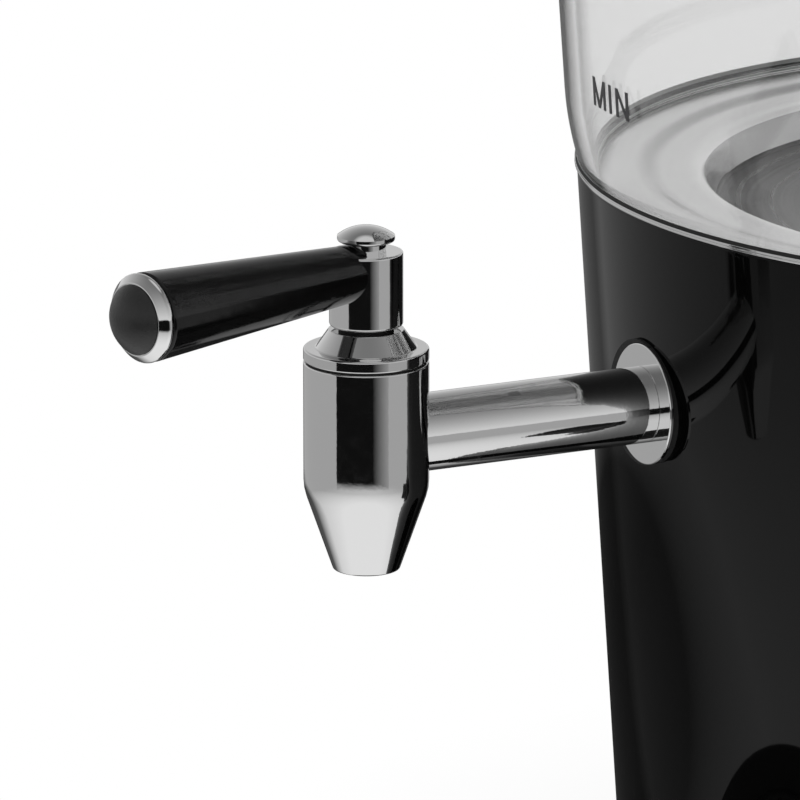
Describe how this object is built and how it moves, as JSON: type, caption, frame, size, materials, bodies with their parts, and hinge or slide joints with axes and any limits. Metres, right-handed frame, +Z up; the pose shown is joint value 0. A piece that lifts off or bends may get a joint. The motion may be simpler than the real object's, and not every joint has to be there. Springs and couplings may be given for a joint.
{
  "type": "electric tea maker",
  "caption": "Countertop electric tea maker: black conical heated base, clear glass tank with lid and infuser, chrome lever tap, control knob, power button and drip tray.",
  "frame": {"origin": "on the body's axis at the table, in the plane of the foot ring", "axes": "+Z up along the body's axis, the tap points along -Y, the controls lie towards +X"},
  "size_m": [0.225, 0.3203, 0.3242],
  "materials": {
    "lacquer": "gloss black lacquer",
    "black_plastic": "satin",
    "black_gloss": "gloss",
    "foot_rubber": "matte",
    "black_rubber": "matte",
    "steel": "brushed",
    "inner_steel": "satin",
    "chrome": "polished",
    "glass": "clear",
    "silicone": "satin",
    "brass": "turned",
    "heater_alloy": "cast",
    "inner_plastic": "matte",
    "ivory_plastic": "matte",
    "lens": "clear tinted"
  },
  "bodies": {
    "base": {"outer_shell": "lacquer", "plinth": "black_plastic", "base_plate": "black_plastic", "knob_bezel": "black_plastic", "button_nut": "black_plastic", "power_inlet": "black_plastic", "foot_ring": "foot_rubber", "tap_gasket": "black_rubber", "tap_washer": "black_rubber", "bonnet_seal": "black_rubber", "rim_ring": "steel", "boiler_pan": "steel", "tank_rim": "steel", "tie_studs": "inner_steel", "stud_nuts": "inner_steel", "shield_nuts": "inner_steel", "heat_shield": "inner_steel", "drain_nipple": "inner_steel", "hose_clips": "inner_steel", "control_bracket": "inner_steel", "tap_flange": "chrome", "tap_pipe": "chrome", "valve_body": "chrome", "valve_bonnet": "chrome", "button_bezel": "chrome", "lamp_bezel": "chrome", "glass_tank": "glass", "glass_seal": "silicone", "outlet_hose": "silicone", "tap_locknut": "brass", "inlet_pins": "brass", "heater_plate": "heater_alloy", "heating_element": "heater_alloy", "thermal_cutout": "inner_plastic", "switch_body": "inner_plastic", "thermostat": "ivory_plastic", "lamp_lens": "lens"},
    "tap_lever": {"valve_plug": "brass", "plug_rings": "black_rubber", "neck_ring": "black_rubber", "lever_hub": "chrome", "lever_rod": "inner_steel", "lever_grip": "black_gloss", "grip_ring": "chrome", "grip_end_cap": "black_plastic", "hub_cap": "chrome"},
    "lid": {"lid_plate": "steel", "lid_seal": "silicone", "lid_lugs": "black_plastic"},
    "infuser": {"infuser_basket": "steel"},
    "infuser_cover": {"infuser_cap": "steel", "cap_knob": "black_gloss", "cap_knob_ring": "chrome", "cap_screw": "inner_steel"},
    "dial": {"knob_shaft": "inner_steel", "control_knob": "black_gloss", "knob_cap": "chrome"},
    "power_key": {"power_button": "black_gloss"},
    "tray": {"drip_tray": "black_plastic"},
    "grille": {"drip_grille": "steel"}
  },
  "joints": [
    {"name": "tap_turn", "type": "hinge", "parent": "base", "child": "tap_lever", "pos_m": [0, -0.1533, 0.1145], "axis": [0, 0, 1], "range_deg": [-16, 74]},
    {"name": "lid_lift", "type": "slide", "parent": "base", "child": "lid", "axis": [0, 0, 1], "range_m": [0, 0.12]},
    {"name": "infuser_lift", "type": "slide", "parent": "lid", "child": "infuser", "axis": [0, 0, 1], "range_m": [0, 0.11]},
    {"name": "cover_lift", "type": "slide", "parent": "infuser", "child": "infuser_cover", "axis": [0, 0, 1], "range_m": [0, 0.04]},
    {"name": "dial_turn", "type": "hinge", "parent": "base", "child": "dial", "pos_m": [0.07224, -0.06062, 0.062], "axis": [0.766, -0.6428, 0], "range_deg": [-240, 0]},
    {"name": "power_press", "type": "slide", "parent": "base", "child": "power_key", "axis": [-0.9744, 0.225, 0], "range_m": [0, 0.0022], "stiffness_N_per_m": 500},
    {"name": "tray_pull", "type": "slide", "parent": "base", "child": "tray", "axis": [0, -1, 0], "range_m": [0, 0.05]},
    {"name": "grille_lift", "type": "slide", "parent": "tray", "child": "grille", "axis": [0, 0, 1], "range_m": [0, 0.03]}
  ]
}
